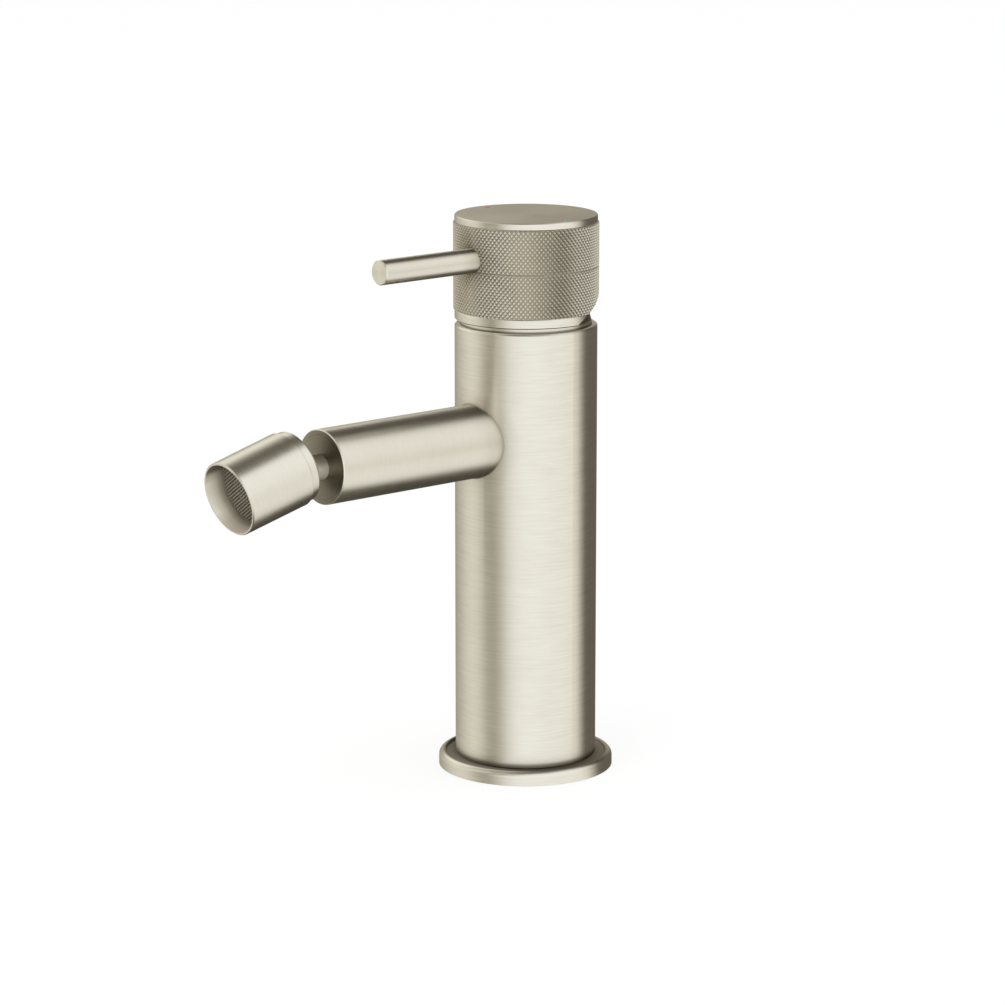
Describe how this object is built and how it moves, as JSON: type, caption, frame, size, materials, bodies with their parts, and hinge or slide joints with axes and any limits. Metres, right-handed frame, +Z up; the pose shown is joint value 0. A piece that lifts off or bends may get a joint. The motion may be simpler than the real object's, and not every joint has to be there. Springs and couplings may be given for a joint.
{
  "type": "bidet mixer",
  "caption": "Single-lever bidet mixer: round brushed nickel body on a stepped flange, straight spout with a ball-joint nozzle, knurled handle with a pin lever.",
  "frame": {"origin": "centre of the base flange's underside, at the mouth of the fixing stud hole, on the basin surface", "axes": "+Z up along the body; -Y to the front, along the spout and the lever; +X to the user's right, the cold side"},
  "size_m": [0.052, 0.1376, 0.1663],
  "materials": {
    "brushed_nickel": "warm brushed nickel, satin",
    "brass": "turned brass",
    "rubber": "matte black rubber",
    "ceramic": "lapped alumina",
    "acetal": "moulded acetal",
    "steel": "turned stainless steel",
    "screen_steel": "woven stainless wire",
    "ptfe": "machined PTFE",
    "hot_enamel": "red enamel",
    "cold_enamel": "blue enamel"
  },
  "bodies": {
    "mixer_body": {"body_shell": "brushed_nickel", "base_flange": "brushed_nickel", "base_gasket": "rubber", "base_insert": "brass", "hot_riser": "brass", "cold_riser": "brass", "riser_o_rings": "rubber", "valve_block": "brass", "spout_tube": "brushed_nickel", "spout_gland": "brass", "gland_o_ring": "rubber", "spout_end_bush": "brushed_nickel", "ball_stem": "brushed_nickel", "stem_o_ring": "rubber", "cartridge_base": "acetal", "port_seals": "rubber", "fixed_disc": "ceramic", "cartridge_housing": "acetal", "cartridge_nut": "brass", "dome_cover": "brushed_nickel"},
    "mixing_turret": {"turret": "acetal", "pivot_pin": "steel"},
    "moving_discs": {"moving_disc": "ceramic", "disc_carrier": "acetal"},
    "handle": {"spindle": "steel", "handle_core": "brushed_nickel", "lower_knurled_sleeve": "brushed_nickel", "upper_knurled_sleeve": "brushed_nickel", "handle_cap": "brushed_nickel", "hot_mark": "hot_enamel", "cold_mark": "cold_enamel", "lever_rod": "brushed_nickel", "grub_screw": "steel"},
    "swivel_liner": {"ball_liner": "ptfe"},
    "nozzle": {"nozzle_housing": "brushed_nickel", "nozzle_collar": "brushed_nickel", "ball_retainer": "brass", "aerator_gasket": "rubber", "aerator_cage": "acetal", "aerator_screen": "screen_steel"}
  },
  "joints": [
    {"name": "temperature_turn", "type": "hinge", "parent": "mixer_body", "child": "mixing_turret", "pos_m": [0, 0, 0.1302], "axis": [0, 0, 1], "range_deg": [-45, 45]},
    {"name": "flow_lift", "type": "hinge", "parent": "mixing_turret", "child": "handle", "pos_m": [0, 0, 0.1302], "axis": [-1, 0, 0], "range_deg": [0, 25]},
    {"name": "disc_slide", "type": "slide", "parent": "mixing_turret", "child": "moving_discs", "axis": [0, -1, 0], "range_m": [0, 0.00375]},
    {"name": "nozzle_turn", "type": "hinge", "parent": "mixer_body", "child": "swivel_liner", "pos_m": [0, -0.0914, 0.1013], "axis": [0, 0, 1], "range_deg": [-18, 18]},
    {"name": "nozzle_tilt", "type": "hinge", "parent": "swivel_liner", "child": "nozzle", "pos_m": [0, -0.0914, 0.1013], "axis": [1, 0, 0], "range_deg": [-36.8, 7.2]}
  ],
  "couplings": [
    {"joint": "disc_slide", "follows": "flow_lift", "m_per_rad": 0.008572}
  ]
}
